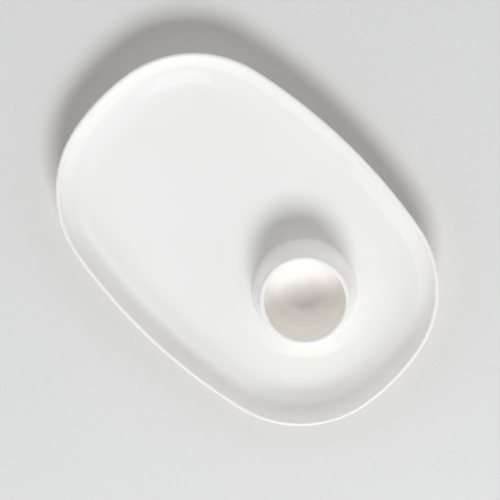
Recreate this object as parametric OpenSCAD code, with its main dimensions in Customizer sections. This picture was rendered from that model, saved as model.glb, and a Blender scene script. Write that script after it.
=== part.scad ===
// Egg plate: an oblong porcelain plate with an egg cup standing near one end.
// Sizes are in millimetres. X runs along the plate, Z points up, and the table is z = 0.

/* [Plate outline] */
// Overall length of the plate
plate_l = 220; // [200:1:240]
// Overall width of the plate
plate_w = 151; // [140:1:160]
// Radius of the two long sides
side_r = 310; // [260:5:400]
// Radius of the two ends
end_r = 120; // [100:1:140]
// Radius of the four corners
corner_r = 61; // [55:1:66]

/* [Plate section] */
// Height of the eating surface above the table
floor_z = 6.8; // [5.5:0.1:9]
// Thickness of the floor
floor_t = 3.8; // [3:0.1:5]
// Width of the curved wall, seen from above
wall_w = 25; // [20:0.5:30]
// Height of the rim above the eating surface
wall_h = 16.5; // [12:0.5:20]
// Radius of the gentle curve where the wall leaves the floor
wall_r = 30; // [22:1:40]
// Slope, in degrees, at which the tighter upper curve takes over
wall_bend = 25; // [15:1:32]
// Radius of the rounded lip
lip_r = 1.1; // [0.8:0.1:1.6]

/* [Foot] */
// Inset of the foot's outer face from the edge of the plate
foot_inset = 27.5; // [26:0.5:40]
// Width of the foot ring
foot_w = 4.5; // [3:0.5:8]
// Radius of the foot's two lower edges
foot_edge = 0.9; // [0.4:0.1:1.2]

/* [Egg cup] */
// Distance of the cup's axis from the middle of the plate
cup_x = 42.5; // [30:0.5:50]
// Height of the cup above the eating surface
cup_h = 27.5; // [22:0.5:32]
// Inside radius of the mouth, for a hen's egg
mouth_r = 21.6; // [20:0.1:24]
// Radius of the rounded lip of the cup
cup_lip_r = 1.35; // [0.8:0.05:1.6]
// Taper of the outside, in degrees from upright
cup_taper = 10; // [4:0.5:14]
// Draft of the upright inside wall, in degrees
bowl_draft = 2; // [1:0.5:5]
// Depth of the bowl below the middle of the lip
bowl_d = 24.2; // [20:0.1:25]
// Radius of the bottom of the bowl
bowl_r = 25; // [23:0.5:27]
// Slope, in degrees, at which the tighter side curve of the bowl takes over
bowl_bend = 45; // [35:1:50]

/* [Collar] */
// Height of the collar where it meets the cup
collar_h = 2.5; // [1.5:0.1:4]
// Outer radius of the collar on the eating surface
collar_reach = 38.2; // [33:0.1:42]
// Radius of the collar's hollow curve
collar_r = 47; // [30:1:80]
// Radius of the filled crease between collar and cup
crease_r = 1.2; // [0.6:0.1:2]

/* [Hidden] */
$fn = 160;

half_l = plate_l / 2;
half_w = plate_w / 2;
under_z = floor_z - floor_t;
rim_z = floor_z + wall_h;
cup_top = floor_z + cup_h;
// inset at which the loft of the plate is closed by its flat floor
floor_inset = wall_w + 8;

// The unit vector at an angle, in degrees, turned from straight up towards +X.
function lean(t) = [sin(t), cos(t)];

// Points along an arc of a section, from one lean angle to another. The first point
// can be left out where the arc carries on from another one.
function arc(c, r, t0, t1, n, first = 0) = [for (i = [first:n]) c + r * lean(t0 + (t1 - t0) * i / n)];

// Outline: each corner arc is tangent to a side arc and an end arc, so its centre
// lies where two circles about the side centre and the end centre cross.
side_y = half_w - side_r;
end_x = half_l - end_r;
from_side = side_r - corner_r;
from_end = end_r - corner_r;
link = [end_x, -side_y];
link_l = norm(link);
link_u = link / link_l;
along = (from_side * from_side - from_end * from_end + link_l * link_l) / (2 * link_l);
across = sqrt(from_side * from_side - along * along);
corner_c = [0, side_y] + along * link_u + across * [link_u.y, -link_u.x];
side_a = atan2(corner_c.y - side_y, corner_c.x);
end_a = atan2(corner_c.y, corner_c.x - end_x);

// The eight arcs of the outline: centre, radius, first and last angle, number of steps.
arcs = [
    [[end_x, 0], end_r, -end_a, end_a, 6],
    [corner_c, corner_r, end_a, side_a, 20],
    [[0, side_y], side_r, side_a, 180 - side_a, 12],
    [[-corner_c.x, corner_c.y], corner_r, 180 - side_a, 180 - end_a, 20],
    [[-end_x, 0], end_r, 180 - end_a, 180 + end_a, 6],
    [-corner_c, corner_r, 180 + end_a, 180 + side_a, 20],
    [[0, -side_y], side_r, 180 + side_a, 360 - side_a, 12],
    [[corner_c.x, -corner_c.y], corner_r, 360 - side_a, 360 - end_a, 20]
];
stations = [for (a = arcs) for (i = [0:a[4] - 1]) [a[0], a[1], a[2] + (a[3] - a[2]) * i / a[4]]];

// A section point, given by its inset from the edge and its height, at one station.
function placed(s, p) = [
    s[0].x + (s[1] - p.x) * cos(s[2]),
    s[0].y + (s[1] - p.x) * sin(s[2]),
    p.y
];

// Wall section. The wall leaves the floor on a gentle arc, and a second arc carries it
// up to the round lip without a break in slope. The belly outside is one arc, which
// starts square across the lip and ends level with the underside.
low_c = [wall_w, floor_z + wall_r];
bend_p = low_c - wall_r * lean(wall_bend);
lip_c = [lip_r, rim_z - lip_r];
to_lip = lip_c - (bend_p - lip_r * lean(wall_bend));
lip_slope = 2 * atan2(to_lip.y, -to_lip.x) - wall_bend;
high_r = norm(to_lip) / (2 * sin((lip_slope - wall_bend) / 2)) - lip_r;
high_c = bend_p + high_r * lean(wall_bend);
lip_out = lip_c - lip_r * lean(lip_slope);
belly_r = (lip_out.y - under_z) / (1 - cos(lip_slope));
belly_c = lip_out + belly_r * lean(lip_slope);
plate_section = concat(
    [[floor_inset, floor_z]],
    arc(low_c, wall_r, 180, 180 + wall_bend, 8),
    arc(high_c, high_r, 180 + wall_bend, 180 + lip_slope, 11, 1),
    arc(lip_c, lip_r, lip_slope, lip_slope - 180, 8, 1),
    arc(belly_c, belly_r, 180 + lip_slope, 180, 12, 1),
    [[floor_inset, under_z]]
);

// Foot section: upright sides and rounded lower edges, with a flat standing face.
foot_end = foot_inset + foot_w;
foot_section = concat(
    [[foot_inset, under_z]],
    arc([foot_inset + foot_edge, foot_edge], foot_edge, 270, 180, 4),
    arc([foot_end - foot_edge, foot_edge], foot_edge, 180, 90, 4),
    [[foot_end, under_z]]
);

// Cup section, as radius and height: a tapered outside, a rounded lip, and a bowl of
// two arcs below an almost upright wall.
cup_lip_c = [mouth_r + cup_lip_r, cup_top - cup_lip_r];
cup_out = cup_lip_c + cup_lip_r * lean(90 - cup_taper);
cup_in = cup_lip_c + cup_lip_r * lean(bowl_draft - 90);
function cup_radius(z) = cup_out.x + (cup_out.y - z) * tan(cup_taper);
cup_base_r = cup_radius(floor_z);
bowl_c = [0, cup_lip_c.y - bowl_d + bowl_r];
bowl_p = bowl_c + bowl_r * lean(180 - bowl_bend);
wall_turn = 90 - bowl_draft;
turn_x = sin(wall_turn) - sin(bowl_bend);
turn_y = cos(bowl_bend) - cos(wall_turn);
bowl_room = cup_in.x - bowl_p.x - (cup_in.y - bowl_p.y) * tan(bowl_draft);
turn_r = bowl_room / (turn_x - turn_y * tan(bowl_draft));
turn_c = bowl_p - turn_r * lean(180 - bowl_bend);
cup_section = concat(
    [[0, floor_z], [cup_base_r, floor_z]],
    arc(cup_lip_c, cup_lip_r, 90 - cup_taper, bowl_draft - 90, 12),
    arc(turn_c, turn_r, 180 - wall_turn, 180 - bowl_bend, 12),
    arc(bowl_c, bowl_r, 180 - bowl_bend, 180, 15, 1)
);

// Collar section, as radius and height: a hollow curve from the floor up to the cup, with
// a small arc that fills the crease and touches both.
collar_in = [cup_radius(floor_z + collar_h), floor_z + collar_h];
collar_out = [collar_reach, floor_z];
collar_chord = collar_in - collar_out;
collar_half = asin(norm(collar_chord) / (2 * collar_r));
collar_dip = atan2(collar_chord.y, -collar_chord.x);
collar_c = collar_out + collar_r * lean(collar_dip - collar_half);
crease_from = cup_out + crease_r * lean(90 - cup_taper) - collar_c;
crease_climb = crease_from * lean(-cup_taper);
crease_drop = crease_climb + sqrt(
    crease_climb * crease_climb - crease_from * crease_from + (collar_r - crease_r) * (collar_r - crease_r)
);
crease_to = crease_from - crease_drop * lean(-cup_taper);
crease_c = collar_c + crease_to;
crease_a = 180 + atan2(-crease_to.x, -crease_to.y);
collar_section = concat(
    [[cup_base_r, floor_z]],
    arc(collar_c, collar_r, 180 + collar_dip - collar_half, crease_a, 10),
    arc(crease_c, crease_r, crease_a, 270 - cup_taper, 6, 1)
);

// Lofts a section round the outline. An open section is closed by its first and last
// rings, which are flat. A ring section runs on from its last point to its first.
module loft(section, ring) {
    n = len(stations);
    m = len(section);
    points = [for (p = section) for (s = stations) placed(s, p)];
    sides = [
        for (k = [0:ring ? m - 1 : m - 2])
            for (i = [0:n - 1])
                let (j = (i + 1) % n, k2 = (k + 1) % m)
                    [k * n + i, k * n + j, k2 * n + j, k2 * n + i]
    ];
    caps = ring ? [] : [
        [for (i = [n - 1:-1:0]) i],
        [for (i = [0:n - 1]) (m - 1) * n + i]
    ];
    polyhedron(points, concat(sides, caps));
}

module plate() {
    color([0.94, 0.93, 0.91])
        loft(plate_section, false);
}

module foot_ring() {
    color([0.88, 0.86, 0.82])
        loft(foot_section, true);
}

module egg_cup() {
    color([0.95, 0.94, 0.92])
        translate([cup_x, 0, 0])
            rotate_extrude()
                polygon(cup_section);
}

module cup_collar() {
    color([0.93, 0.92, 0.90])
        translate([cup_x, 0, 0])
            rotate_extrude()
                polygon(collar_section);
}

plate();
foot_ring();
egg_cup();
cup_collar();
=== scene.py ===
import math

import bpy
from mathutils import Matrix, Vector


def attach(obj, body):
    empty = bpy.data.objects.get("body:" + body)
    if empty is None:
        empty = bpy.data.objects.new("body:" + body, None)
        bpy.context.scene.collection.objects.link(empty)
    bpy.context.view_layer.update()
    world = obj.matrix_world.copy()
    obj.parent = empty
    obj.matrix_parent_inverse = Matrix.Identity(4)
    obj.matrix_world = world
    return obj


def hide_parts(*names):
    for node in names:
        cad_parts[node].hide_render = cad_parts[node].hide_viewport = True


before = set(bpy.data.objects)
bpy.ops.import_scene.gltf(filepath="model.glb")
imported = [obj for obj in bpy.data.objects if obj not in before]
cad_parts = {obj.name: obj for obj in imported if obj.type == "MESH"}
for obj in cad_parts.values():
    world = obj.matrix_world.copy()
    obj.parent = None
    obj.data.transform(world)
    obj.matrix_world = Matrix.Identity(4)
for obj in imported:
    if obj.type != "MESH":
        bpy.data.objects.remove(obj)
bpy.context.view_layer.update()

# An egg plate of white glazed porcelain: an oblong plate with an egg cup standing near
# one end. Sizes are in millimetres and are those of the solids. X runs along the plate,
# Z points up, and the table is z = 0. A section is drawn across and up, in the plane
# y = 0, and is then carried round the outline or round the cup's axis.
MM = 0.001

PLATE_L, PLATE_W = 220, 151
SIDE_R, END_R, CORNER_R = 310, 120, 61

FLOOR_Z, FLOOR_T = 6.8, 3.8
WALL_W, WALL_H = 25, 16.5
WALL_R, WALL_BEND, LIP_R = 30, 25, 1.1
UNDER_Z = FLOOR_Z - FLOOR_T
RIM_Z = FLOOR_Z + WALL_H

FOOT_INSET, FOOT_W, FOOT_EDGE = 27.5, 4.5, 0.9

CUP_X, CUP_H = 42.5, 27.5
MOUTH_R, CUP_LIP_R, CUP_TAPER = 21.6, 1.35, 10
BOWL_DRAFT, BOWL_D, BOWL_R, BOWL_BEND = 2, 24.2, 25, 45
CUP_TOP = FLOOR_Z + CUP_H

COLLAR_H, COLLAR_REACH, COLLAR_R = 2.5, 38.2, 47
CREASE_R = 1.2

# The flat floor is drawn this far on from the wall, and is filled later.
FLOOR_STRIP = 2
# The foot is sunk this far into the plate, so that no gap shows between the two.
FOOT_SINK = 0.3

# Each arc is drawn or carried in this many steps.
END_STEPS, CORNER_STEPS, SIDE_STEPS = 14, 36, 28
LOW_WALL_STEPS, HIGH_WALL_STEPS, LIP_STEPS, BELLY_STEPS = 12, 18, 14, 18
FOOT_STEPS = 6
COLLAR_STEPS, CREASE_STEPS, CUP_LIP_STEPS = 16, 10, 16
BOWL_SIDE_STEPS, BOWL_STEPS, CUP_ROUND_STEPS = 16, 20, 144

# A section starts from a plane of this size, drawn together to a point. Points closer than
# MERGE become one, and edges that turn by less than SMOOTH_ANGLE, in degrees, look smooth.
START_SIZE = 10
MERGE = 0.001
SMOOTH_ANGLE = 40


def lean(turn):
    """The unit vector of a section that is turned this many degrees from up to the outside."""
    turn = math.radians(turn)
    return Vector((math.sin(turn), math.cos(turn)))


def degrees_of(across, up):
    """The angle of a direction, in degrees from across to up."""
    return math.degrees(math.atan2(up, across))


# Drawing and carrying


def begin(name, point):
    """Starts a piece as the first point of its section."""
    bpy.ops.object.select_all(action="DESELECT")
    bpy.ops.mesh.primitive_plane_add(
        size=START_SIZE * MM, location=(point.x * MM, 0, point.y * MM)
    )
    piece = bpy.context.object
    piece.name = piece.data.name = name
    bpy.ops.object.transform_apply(location=True, rotation=False, scale=False)
    bpy.ops.object.mode_set(mode="EDIT")
    bpy.ops.mesh.select_all(action="SELECT")
    bpy.ops.mesh.merge(type="CENTER")
    return piece


def line(start, end):
    """Draws the section on from its last point, along a straight line."""
    run = (end - start) * MM
    bpy.ops.mesh.extrude_region_move(TRANSFORM_OT_translate={"value": (run.x, 0, run.y)})


def bow(centre, turn, steps):
    """Draws the section on from its last point, round an arc.

    A positive turn goes from up to the outside."""
    bpy.ops.mesh.spin(
        steps=steps,
        angle=-math.radians(turn),
        center=(centre.x * MM, 0, centre.y * MM),
        axis=(0, 1, 0),
    )


def carry(centre, turn, steps):
    """Carries the drawn section on round an upright axis, anticlockwise from above."""
    bpy.ops.mesh.spin(
        steps=steps,
        angle=-math.radians(turn),
        center=(centre.x * MM, centre.y * MM, 0),
        axis=(0, 0, 1),
    )


def join_points():
    """Makes one point of points that lie on each other, as at a seam or a pole."""
    bpy.ops.mesh.select_all(action="SELECT")
    bpy.ops.mesh.remove_doubles(threshold=MERGE * MM)


def face_outwards():
    """Turns every face of a closed piece outwards, and shades its curves smooth."""
    bpy.ops.mesh.select_all(action="SELECT")
    bpy.ops.mesh.normals_make_consistent(inside=False)
    bpy.ops.object.mode_set(mode="OBJECT")
    bpy.ops.object.shade_smooth_by_angle(angle=math.radians(SMOOTH_ANGLE))
    bpy.ops.object.mode_set(mode="EDIT")


def close_piece():
    """Joins the seam of a carried section, and fills what is still open."""
    join_points()
    bpy.ops.mesh.fill_holes(sides=0)
    face_outwards()


# Plate

# Each corner arc of the outline touches a side arc and an end arc without a break.
side_c = Vector((0, PLATE_W / 2 - SIDE_R))
end_c = Vector((PLATE_L / 2 - END_R, 0))
link = end_c - side_c
from_side, from_end = SIDE_R - CORNER_R, END_R - CORNER_R
along = (from_side**2 - from_end**2 + link.length_squared) / (2 * link.length)
across = math.sqrt(from_side**2 - along**2)
link_u = link.normalized()
corner_c = side_c + along * link_u + across * Vector((link_u.y, -link_u.x))
side_a = degrees_of(*(corner_c - side_c))
end_a = degrees_of(*(corner_c - end_c))


def carry_round_plate():
    """Carries a drawn section round the eight arcs of the plate's outline."""
    corner_turn, side_turn = side_a - end_a, 180 - 2 * side_a
    left, down = Vector((-1, 1)), Vector((1, -1))
    bpy.ops.mesh.select_all(action="SELECT")
    carry(end_c, end_a, END_STEPS // 2)
    carry(corner_c, corner_turn, CORNER_STEPS)
    carry(side_c, side_turn, SIDE_STEPS)
    carry(corner_c * left, corner_turn, CORNER_STEPS)
    carry(end_c * left, 2 * end_a, END_STEPS)
    carry(-corner_c, corner_turn, CORNER_STEPS)
    carry(side_c * down, side_turn, SIDE_STEPS)
    carry(corner_c * down, corner_turn, CORNER_STEPS)
    carry(end_c, end_a, END_STEPS // 2)


def plate_shell():
    """The plate, left open over its floor: wall of two arcs, round lip, and a belly of one arc outside."""
    edge = PLATE_L / 2
    low_c = Vector((edge - WALL_W, FLOOR_Z + WALL_R))
    bend_p = low_c + WALL_R * lean(180 - WALL_BEND)
    lip_c = Vector((edge - LIP_R, RIM_Z - LIP_R))
    to_lip = lip_c - (bend_p + LIP_R * lean(180 - WALL_BEND))
    lip_slope = 2 * degrees_of(*to_lip) - WALL_BEND
    half_turn = math.radians((lip_slope - WALL_BEND) / 2)
    high_r = to_lip.length / (2 * math.sin(half_turn)) - LIP_R
    high_c = bend_p - high_r * lean(180 - WALL_BEND)
    lip_out = lip_c + LIP_R * lean(180 - lip_slope)
    belly_r = (lip_out.y - UNDER_Z) / (1 - math.cos(math.radians(lip_slope)))
    belly_c = lip_out - belly_r * lean(180 - lip_slope)

    floor_p = Vector((edge - WALL_W - FLOOR_STRIP, FLOOR_Z))
    piece = begin("glazed_plate", floor_p)
    line(floor_p, low_c + WALL_R * lean(180))
    bow(low_c, -WALL_BEND, LOW_WALL_STEPS)
    bow(high_c, WALL_BEND - lip_slope, HIGH_WALL_STEPS)
    bow(lip_c, 180, LIP_STEPS)
    bow(belly_c, lip_slope, BELLY_STEPS)
    line(belly_c + belly_r * lean(180), Vector((floor_p.x, UNDER_Z)))
    carry_round_plate()
    close_piece()

    # the floor is the upper one of the two faces that have more than four corners
    bpy.ops.mesh.select_mode(type="FACE")
    bpy.ops.mesh.select_all(action="DESELECT")
    bpy.ops.object.mode_set(mode="OBJECT")
    middle_z = (UNDER_Z + FLOOR_Z) / 2 * MM
    for face in piece.data.polygons:
        face.select = len(face.vertices) > 4 and face.center.z > middle_z
    bpy.ops.object.mode_set(mode="EDIT")
    bpy.ops.mesh.delete(type="ONLY_FACE")
    bpy.ops.mesh.select_mode(type="VERT")
    bpy.ops.object.mode_set(mode="OBJECT")
    return piece


def standing_foot():
    """The foot ring: upright sides, rounded lower edges, and a flat face to stand on."""
    outside = PLATE_L / 2 - FOOT_INSET
    inside = outside - FOOT_W
    top = UNDER_Z + FOOT_SINK
    start = Vector((outside, top))
    out_c = Vector((outside - FOOT_EDGE, FOOT_EDGE))
    in_c = Vector((inside + FOOT_EDGE, FOOT_EDGE))
    piece = begin("standing_foot", start)
    line(start, Vector((outside, FOOT_EDGE)))
    bow(out_c, 90, FOOT_STEPS)
    line(out_c, in_c)
    bow(in_c, 90, FOOT_STEPS)
    line(Vector((inside, FOOT_EDGE)), Vector((inside, top)))
    line(Vector((inside, top)), start)
    join_points()
    carry_round_plate()
    close_piece()
    bpy.ops.object.mode_set(mode="OBJECT")
    return piece


# Egg cup

cup_axis = Vector((CUP_X, 0))
cup_lip_c = Vector((CUP_X + MOUTH_R + CUP_LIP_R, CUP_TOP - CUP_LIP_R))
cup_out = cup_lip_c + CUP_LIP_R * lean(90 - CUP_TAPER)


def on_cup(height):
    """The point of the cup's tapered outside at a height."""
    return Vector((cup_out.x + (cup_out.y - height) * math.tan(math.radians(CUP_TAPER)), height))


def cup_shell():
    """Collar and cup, drawn from the floor up: hollow collar, filled crease, taper, round lip and bowl."""
    inner, outer = on_cup(FLOOR_Z + COLLAR_H), Vector((CUP_X + COLLAR_REACH, FLOOR_Z))
    chord = inner - outer
    half = math.degrees(math.asin(chord.length / (2 * COLLAR_R)))
    dip = degrees_of(-chord.x, chord.y)
    hollow_c = outer + COLLAR_R * lean(dip - half)

    # the glaze fills the crease on an arc that touches the collar and the taper
    out_of_cup = lean(90 - CUP_TAPER)
    up_cup = lean(-CUP_TAPER)
    offset = cup_out + CREASE_R * out_of_cup - hollow_c
    climb = offset.dot(up_cup)
    crease_c = hollow_c + offset + up_cup * (
        -climb - math.sqrt(climb**2 - offset.length_squared + (COLLAR_R - CREASE_R) ** 2)
    )
    crease_way = (crease_c - hollow_c).normalized()
    crease_low = 180 + math.degrees(math.atan2(-crease_way.x, -crease_way.y))
    cup_foot = crease_c - CREASE_R * out_of_cup

    # the bowl turns from its almost upright wall into its bottom on a tighter arc
    draft = math.tan(math.radians(BOWL_DRAFT))
    cup_in = cup_lip_c + CUP_LIP_R * lean(BOWL_DRAFT - 90)
    bowl_c = Vector((CUP_X, cup_lip_c.y - BOWL_D + BOWL_R))
    bowl_p = bowl_c + BOWL_R * lean(180 - BOWL_BEND)
    wall_turn = 90 - BOWL_DRAFT
    step = lean(180 - wall_turn) - lean(180 - BOWL_BEND)
    gap = cup_in.x - bowl_p.x - (cup_in.y - bowl_p.y) * draft
    turn_r = gap / (step.x - step.y * draft)
    turn_c = bowl_p - turn_r * lean(180 - BOWL_BEND)

    piece = begin("cup_shell", outer)
    bow(hollow_c, crease_low - 180 - dip + half, COLLAR_STEPS)
    bow(crease_c, 270 - CUP_TAPER - crease_low, CREASE_STEPS)
    line(cup_foot, cup_out)
    bow(cup_lip_c, BOWL_DRAFT + CUP_TAPER - 180, CUP_LIP_STEPS)
    line(cup_in, turn_c + turn_r * lean(180 - wall_turn))
    bow(turn_c, wall_turn - BOWL_BEND, BOWL_SIDE_STEPS)
    bow(bowl_c, BOWL_BEND, BOWL_STEPS)
    bpy.ops.mesh.select_all(action="SELECT")
    carry(cup_axis, 360, CUP_ROUND_STEPS)
    join_points()
    bpy.ops.object.mode_set(mode="OBJECT")
    return piece


def glazed_plate():
    """The plate with its cup under one skin of glaze: the floor is filled between plate and collar."""
    cup, plate = cup_shell(), plate_shell()
    bpy.ops.object.select_all(action="DESELECT")
    cup.select_set(True)
    plate.select_set(True)
    bpy.context.view_layer.objects.active = plate
    bpy.ops.object.join()
    bpy.ops.object.mode_set(mode="EDIT")
    bpy.ops.mesh.select_all(action="DESELECT")
    bpy.ops.mesh.select_non_manifold(extend=False)
    bpy.ops.mesh.fill(use_beauty=True)
    face_outwards()
    bpy.ops.object.mode_set(mode="OBJECT")
    return plate


# Finishes

# Where a Mix node has its two colours, and the colour that it gives.
MIX_FIRST, MIX_SECOND, MIX_RESULT = 6, 7, 2


class Wire:
    """A socket of a node tree. Arithmetic on wires adds Math nodes, and node() adds any other node."""

    def __init__(self, tree, socket=None):
        self.tree, self.socket = tree, socket

    def node(self, kind, settings, inputs, output=0):
        """Adds a node: its settings first, then a value or a wire for each input. Gives one output's wire."""
        made = self.tree.nodes.new(kind)
        for name, value in settings.items():
            if name == "stops":
                ramp = made.color_ramp
                while len(ramp.elements) < len(value):
                    ramp.elements.new(1)
                for stop, (place, colour) in zip(ramp.elements, value):
                    stop.position, stop.color = place, colour
            else:
                setattr(made, name, value)
        for name, value in inputs.items():
            if isinstance(value, Wire):
                self.tree.links.new(value.socket, made.inputs[name])
            else:
                made.inputs[name].default_value = value
        return Wire(self.tree, made.outputs[output]) if made.outputs else None

    def maths(self, operation, first, second=0.0):
        """Adds one Math node."""
        return self.node("ShaderNodeMath", {"operation": operation}, {0: first, 1: second})

    def __add__(self, other):
        return self.maths("ADD", self, other)

    def __sub__(self, other):
        return self.maths("SUBTRACT", self, other)

    def __mul__(self, other):
        return self.maths("MULTIPLY", self, other)

    __radd__, __rmul__ = __add__, __mul__

    def __rsub__(self, other):
        return self.maths("SUBTRACT", other, self)

    def root(self):
        """The square root."""
        return self.maths("SQRT", self)

    def rise(self, low, high):
        """0 below low and 1 above high, or the other way round, with a soft step between."""
        return self.node(
            "ShaderNodeMapRange",
            {"interpolation_type": "SMOOTHSTEP"},
            {"Value": self, "From Min": low, "From Max": high},
        )

    def between(self, first, second):
        """The colour that lies this far from the first colour to the second."""
        return self.node(
            "ShaderNodeMix",
            {"data_type": "RGBA"},
            {"Factor": self, MIX_FIRST: first, MIX_SECOND: second},
            output=MIX_RESULT,
        )


def new_finish(name):
    """A new material with an empty tree. Gives it, a wire to add nodes from, and places in mm."""
    finish = bpy.data.materials.new(name)
    finish.use_nodes = True
    finish.node_tree.nodes.clear()
    tree = Wire(finish.node_tree)
    place = tree.node("ShaderNodeTexCoord", {}, {}, output="Object")
    place = tree.node(
        "ShaderNodeVectorMath", {"operation": "SCALE"}, {0: place, "Scale": 1 / MM}
    )
    return finish, tree, place


def part_of(place, axis):
    """One coordinate of a place: X, Y or Z."""
    return place.node("ShaderNodeSeparateXYZ", {}, {0: place}, output=axis)


def mottle(place, size, detail=2.0):
    """Soft cloudy variation about 0.5, with spots of about this size in mm."""
    return place.node(
        "ShaderNodeTexNoise", {}, {"Vector": place, "Scale": 1 / size, "Detail": detail}
    )


def shine(tree, inputs, height, depth):
    """Ends a material: one shader with these inputs, and a height map of this depth in mm."""
    bump = tree.node("ShaderNodeBump", {}, {"Height": height, "Distance": depth * MM})
    shader = tree.node("ShaderNodeBsdfPrincipled", {}, {"Normal": bump, **inputs})
    tree.node("ShaderNodeOutputMaterial", {}, {"Surface": shader})


# The glaze goes from white to cream over this part of a cloud, whose spots have this size.
GLAZE_WHITE = (0.985, 0.950, 0.908, 1)
GLAZE_CREAM = (0.974, 0.938, 0.895, 1)
CLOUD_SPOT, CLOUD_TURN = 60, (0.35, 0.65)
# In the bowl the glaze is painted warmer. This is partly glaze that pooled there and partly painted
# warm shade for the glow of light in the bowl. Inside a soft edge at the mouth, and from the first of
# these depths below the top of the cup to the second, it takes on this share of that colour.
GLAZE_POOL_AND_SHADE = (0.996, 0.938, 0.870, 1)
MOUTH_SOFT, SHADE_POOL_FROM, SHADE_POOL_TO, SHADE_POOL_SHARE = 0.6, 3, 20, 0.8
# Specks lie about this far apart in depth and width, so few of them are at the surface. They
# fade in between these parts of that distance, and take on this share of their colour.
SPECK = (0.62, 0.58, 0.53, 1)
SPECK_APART, SPECK_EDGE, SPECK_SHARE = 8, (0.034, 0.018), 0.5
# Spots of the ripple and of the orange peel, which is this share as high, and their depth.
RIPPLE_SPOT, PEEL_SPOT, PEEL_SHARE = 18, 2.6, 0.12
GLAZE_DEPTH = 0.02
# Least roughness of the glaze, how much more it has in places, and the spots of that.
GLAZE_ROUGH, GLAZE_DULL, DULL_SPOT = 0.02, 0.03, 35
GLAZE_IOR = 1.7


def glaze_tone(place):
    """The colour of the glaze: cloudy white, painted warmer in the bowl for pooled glaze and warm shade, with
    a few specks of the body.
    """
    x, y, z = (part_of(place, axis) for axis in "XYZ")
    from_cup = x - CUP_X
    radius = (from_cup * from_cup + y * y).root()
    cloud = mottle(place, CLOUD_SPOT, detail=3.0).rise(*CLOUD_TURN)
    tone = cloud.between(GLAZE_WHITE, GLAZE_CREAM)
    in_mouth = radius.rise(MOUTH_R + MOUTH_SOFT, MOUTH_R - MOUTH_SOFT)
    # painted warm shade in the bowl, partly pooled glaze
    pool_and_painted_shade = in_mouth * z.rise(CUP_TOP - SHADE_POOL_FROM, CUP_TOP - SHADE_POOL_TO) * z.rise(UNDER_Z, FLOOR_Z)
    tone = (pool_and_painted_shade * SHADE_POOL_SHARE).between(tone, GLAZE_POOL_AND_SHADE)
    from_speck = place.node(
        "ShaderNodeTexVoronoi", {}, {"Vector": place, "Scale": 1 / SPECK_APART}, output="Distance"
    )
    return (from_speck.rise(*SPECK_EDGE) * SPECK_SHARE).between(tone, SPECK)


def glaze_height(place):
    """The slow ripple of the glaze and its finer orange peel."""
    ripple = mottle(place, RIPPLE_SPOT, detail=1.0)
    peel = mottle(place, PEEL_SPOT, detail=1.0)
    return ripple + peel * PEEL_SHARE


def glazed_porcelain():
    """White porcelain under a clear, smooth glaze."""
    finish, tree, place = new_finish("glazed_porcelain")
    shine(
        tree,
        {
            "Base Color": glaze_tone(place),
            "Roughness": GLAZE_ROUGH + mottle(place, DULL_SPOT) * GLAZE_DULL,
            "IOR": GLAZE_IOR,
        },
        glaze_height(place),
        GLAZE_DEPTH,
    )
    return finish


# Where the glaze ends on the foot: the least height, how much higher the line wavers, the
# spots of that, and how far the edge fades to either side.
LINE_LOW, LINE_WAVER, WAVER_SPOT, LINE_SOFT = 0.75, 0.7, 5, 0.12
# The bare body turns dusty by these shares of its fine grit and of cloudy patches on it.
BARE_BODY = (0.80, 0.765, 0.71, 1)
BARE_DUST = (0.70, 0.665, 0.61, 1)
GRIT_SPOT, GRIT_SHARE = 0.5, 0.4
DUST_SPOT, DUST_TURN, DUST_SHARE = 9, (0.4, 0.7), 0.5
# Roughness of the foot's glaze, and what the bare body and its grit add to it.
FOOT_ROUGH, BARE_ROUGH, GRIT_ROUGH = 0.06, 0.6, 0.2
FOOT_IOR = 1.6
# The bare body lies lower than the glaze by this many times the glaze's depth.
BARE_SUNK = 1.5


def bare_foot():
    """The foot: glazed down to a wavering line, and bare on the edge that stands in the kiln."""
    finish, tree, place = new_finish("bare_foot")
    line_z = LINE_LOW + mottle(place, WAVER_SPOT) * LINE_WAVER
    bare = (part_of(place, "Z") - line_z).rise(LINE_SOFT, -LINE_SOFT)
    grit = mottle(place, GRIT_SPOT, detail=3.0)
    dust = mottle(place, DUST_SPOT, detail=3.0).rise(*DUST_TURN)
    body = (dust * DUST_SHARE + grit * GRIT_SHARE).between(BARE_BODY, BARE_DUST)
    shine(
        tree,
        {
            "Base Color": bare.between(glaze_tone(place), body),
            "Roughness": FOOT_ROUGH + bare * (BARE_ROUGH + grit * GRIT_ROUGH),
            "IOR": FOOT_IOR,
        },
        glaze_height(place) * (1 - bare) + (grit - BARE_SUNK) * bare,
        GLAZE_DEPTH,
    )
    return finish


# The table goes from dark to light by its fine grain and by broad clouds, in these shares.
TABLE_DARK = (0.727, 0.700, 0.672, 1)
TABLE_LIGHT = (0.821, 0.790, 0.758, 1)
GRAIN_SPOT, GRAIN_SHARE, GRAIN_DEPTH = 2.4, 0.65, 0.03
BROAD_SPOT, BROAD_SHARE = 130, 0.35
TABLE_ROUGH, TABLE_SPECULAR = 0.85, 0.12


def matt_table():
    """Pale grey table top with a fine matt grain."""
    finish, tree, place = new_finish("matt_table")
    grain = mottle(place, GRAIN_SPOT, detail=4.0)
    cloud = mottle(place, BROAD_SPOT, detail=3.0)
    shine(
        tree,
        {
            "Base Color": (grain * GRAIN_SHARE + cloud * BROAD_SHARE).between(TABLE_DARK, TABLE_LIGHT),
            "Roughness": TABLE_ROUGH,
            "Specular IOR Level": TABLE_SPECULAR,
        },
        grain,
        GRAIN_DEPTH,
    )
    return finish


# Table, light and camera

TABLE_SIZE = 8000
# The camera looks down with the plate turned this far, in degrees, and leans this far
# from upright: to the right and to the top of the picture.
PLATE_TURN = 43.76
LEAN_RIGHT, LEAN_TOP = 1.5, 11.0
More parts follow.
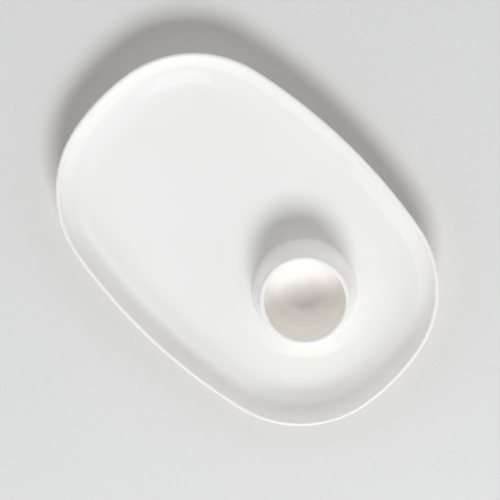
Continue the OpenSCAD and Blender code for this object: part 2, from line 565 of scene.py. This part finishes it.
# The middle of the picture lies this far right and down of the plate's middle, at the height
# of the rim. The camera is this far from it, and the scale holds there.
AIM_RIGHT, AIM_DOWN = 1.326, 4.034
CAMERA_AWAY = 1200
PIXELS_PER_MM = 1.870
FRAME_PIXELS = 500
SENSOR = 36


def table():
    """The table top that the plate stands on."""
    bpy.ops.object.select_all(action="DESELECT")
    bpy.ops.mesh.primitive_plane_add(size=TABLE_SIZE * MM)
    top = bpy.context.object
    top.name = top.data.name = "table_top"
    top.data.materials.append(matt_table())


def in_picture(right, down):
    """The direction over the table that is this far right and down in the picture."""
    turn = math.radians(PLATE_TURN)
    along_plate = Vector((math.cos(turn), math.sin(turn)))
    across_plate = Vector((math.sin(turn), -math.cos(turn)))
    go = Vector((right, down))
    return Vector((go.dot(along_plate), go.dot(across_plate), 0))


def camera():
    """The camera, above the plate and a little towards the top of the picture."""
    aim = in_picture(AIM_RIGHT, AIM_DOWN) + Vector((0, 0, RIM_Z))
    right, top = in_picture(1, 0), in_picture(0, -1)
    back = (
        right * math.tan(math.radians(LEAN_RIGHT))
        + top * math.tan(math.radians(LEAN_TOP))
        + Vector((0, 0, 1))
    ).normalized()
    up = (top - back * top.dot(back)).normalized()
    eye = bpy.data.objects.new("camera", bpy.data.cameras.new("camera"))
    eye.data.sensor_width = SENSOR
    eye.data.lens = PIXELS_PER_MM * CAMERA_AWAY / FRAME_PIXELS * SENSOR
    eye.location = (aim + back * CAMERA_AWAY) * MM
    eye.rotation_euler = Matrix((up.cross(back), up, back)).transposed().to_euler()
    bpy.context.scene.collection.objects.link(eye)
    bpy.context.scene.camera = eye


# Window and room are about as cool as the glaze is warm, so that white comes out white.
WINDOW_TINT = (0.950, 1.0, 1.050)
ROOM_TINT = (0.966, 1.0, 1.030, 1)
# The window's light and its gleam stand this far away. Each has a way to it, right and down
# in the picture, an angle above the table in degrees, a width and height, and a level.
WINDOW_AWAY = 2600
LIGHT_WAY, LIGHT_UP, LIGHT_SIZE, LIGHT_LEVEL = (15, 72), 49, (1100, 900), 0.738
GLEAM_WAY, GLEAM_UP, GLEAM_SIZE, GLEAM_LEVEL = (6, 72), 40, (1100, 1700), 0.055
# Heights in the room, each the sine of an angle above the table, and how bright it is there.
# The whole glow leans by ROOM_LEAN, in degrees, so that it stands higher on the far side of
# the plate, away from the window, and it is brighter there by the share ROOM_FAR.
ROOM_GLOW = ((0.2, 0.42), (0.45, 0.92), (0.6, 0.95), (0.82, 0.0))
ROOM_LEAN = 10
ROOM_FAR = 0.28
# The glaze mirrors the far side of the room. The near side, round the window, is hidden from
# it, from full to none between these places along the way to the far side.
HIDDEN_FROM, HIDDEN_TO = -0.1, 0.3


def soft_box(name, way, elevation, size, level):
    """A soft lamp in this direction of the picture. Level is what it adds to a white face turned to it."""
    tilt = math.radians(elevation)
    out = in_picture(*way).normalized() * math.cos(tilt) + Vector((0, 0, math.sin(tilt)))
    lamp = bpy.data.objects.new(name, bpy.data.lights.new(name, "AREA"))
    lamp.data.shape = "RECTANGLE"
    lamp.data.size, lamp.data.size_y = size[0] * MM, size[1] * MM
    lamp.data.energy = level * (math.pi * WINDOW_AWAY * MM) ** 2
    lamp.data.color = WINDOW_TINT
    lamp.location = out * WINDOW_AWAY * MM
    lamp.rotation_euler = (-out).to_track_quat("-Z", "Y").to_euler()
    lamp.visible_camera = False
    bpy.context.scene.collection.objects.link(lamp)
    return lamp


def window():
    """The window: its light, and its gleam on the glaze, which comes from lower down."""
    light = soft_box("window_light", LIGHT_WAY, LIGHT_UP, LIGHT_SIZE, LIGHT_LEVEL)
    light.visible_glossy = False
    gleam = soft_box("window_gleam", GLEAM_WAY, GLEAM_UP, GLEAM_SIZE, GLEAM_LEVEL)
    gleam.visible_diffuse = False


def room():
    """The soft light of the room. The glaze mirrors its far side, and the window alone on the near side."""
    air = bpy.data.worlds.new("room_air")
    air.use_nodes = True
    air.node_tree.nodes.clear()
    tree = Wire(air.node_tree)
    way = tree.node("ShaderNodeTexCoord", {}, {}, output="Generated")
    far_way = in_picture(0, -1)
    lean_up = Vector((0, 0, 1)) - far_way * math.tan(math.radians(ROOM_LEAN))
    height, far = (
        tree.node(
            "ShaderNodeVectorMath",
            {"operation": "DOT_PRODUCT"},
            {0: way, 1: axis},
            output="Value",
        )
        for axis in (lean_up.normalized(), far_way)
    )
    glow = tree.node(
        "ShaderNodeValToRGB",
        {"stops": [(place, (level, level, level, 1)) for place, level in ROOM_GLOW]},
        {"Fac": height},
    )
    mirrored = tree.node("ShaderNodeLightPath", {}, {}, output="Is Glossy Ray")
    hidden = mirrored * far.rise(HIDDEN_TO, HIDDEN_FROM)
    shader = tree.node(
        "ShaderNodeBackground",
        {},
        {"Color": ROOM_TINT, "Strength": glow * (1 + far * ROOM_FAR) * (1 - hidden)},
    )
    tree.node("ShaderNodeOutputWorld", {}, {"Surface": shader})
    bpy.context.scene.world = air


# The whole plate

porcelain, foot_finish = glazed_porcelain(), bare_foot()
for piece, nodes, finish, slot in (
    (glazed_plate(), ("plate", "egg_cup", "cup_collar"), porcelain, "glaze"),
    (standing_foot(), ("foot_ring",), foot_finish, "bare_foot"),
):
    piece.data.materials.append(finish)
    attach(piece, "root")
    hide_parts(*nodes)

table()
window()
room()
camera()
bpy.context.scene.view_settings.view_transform = "Standard"
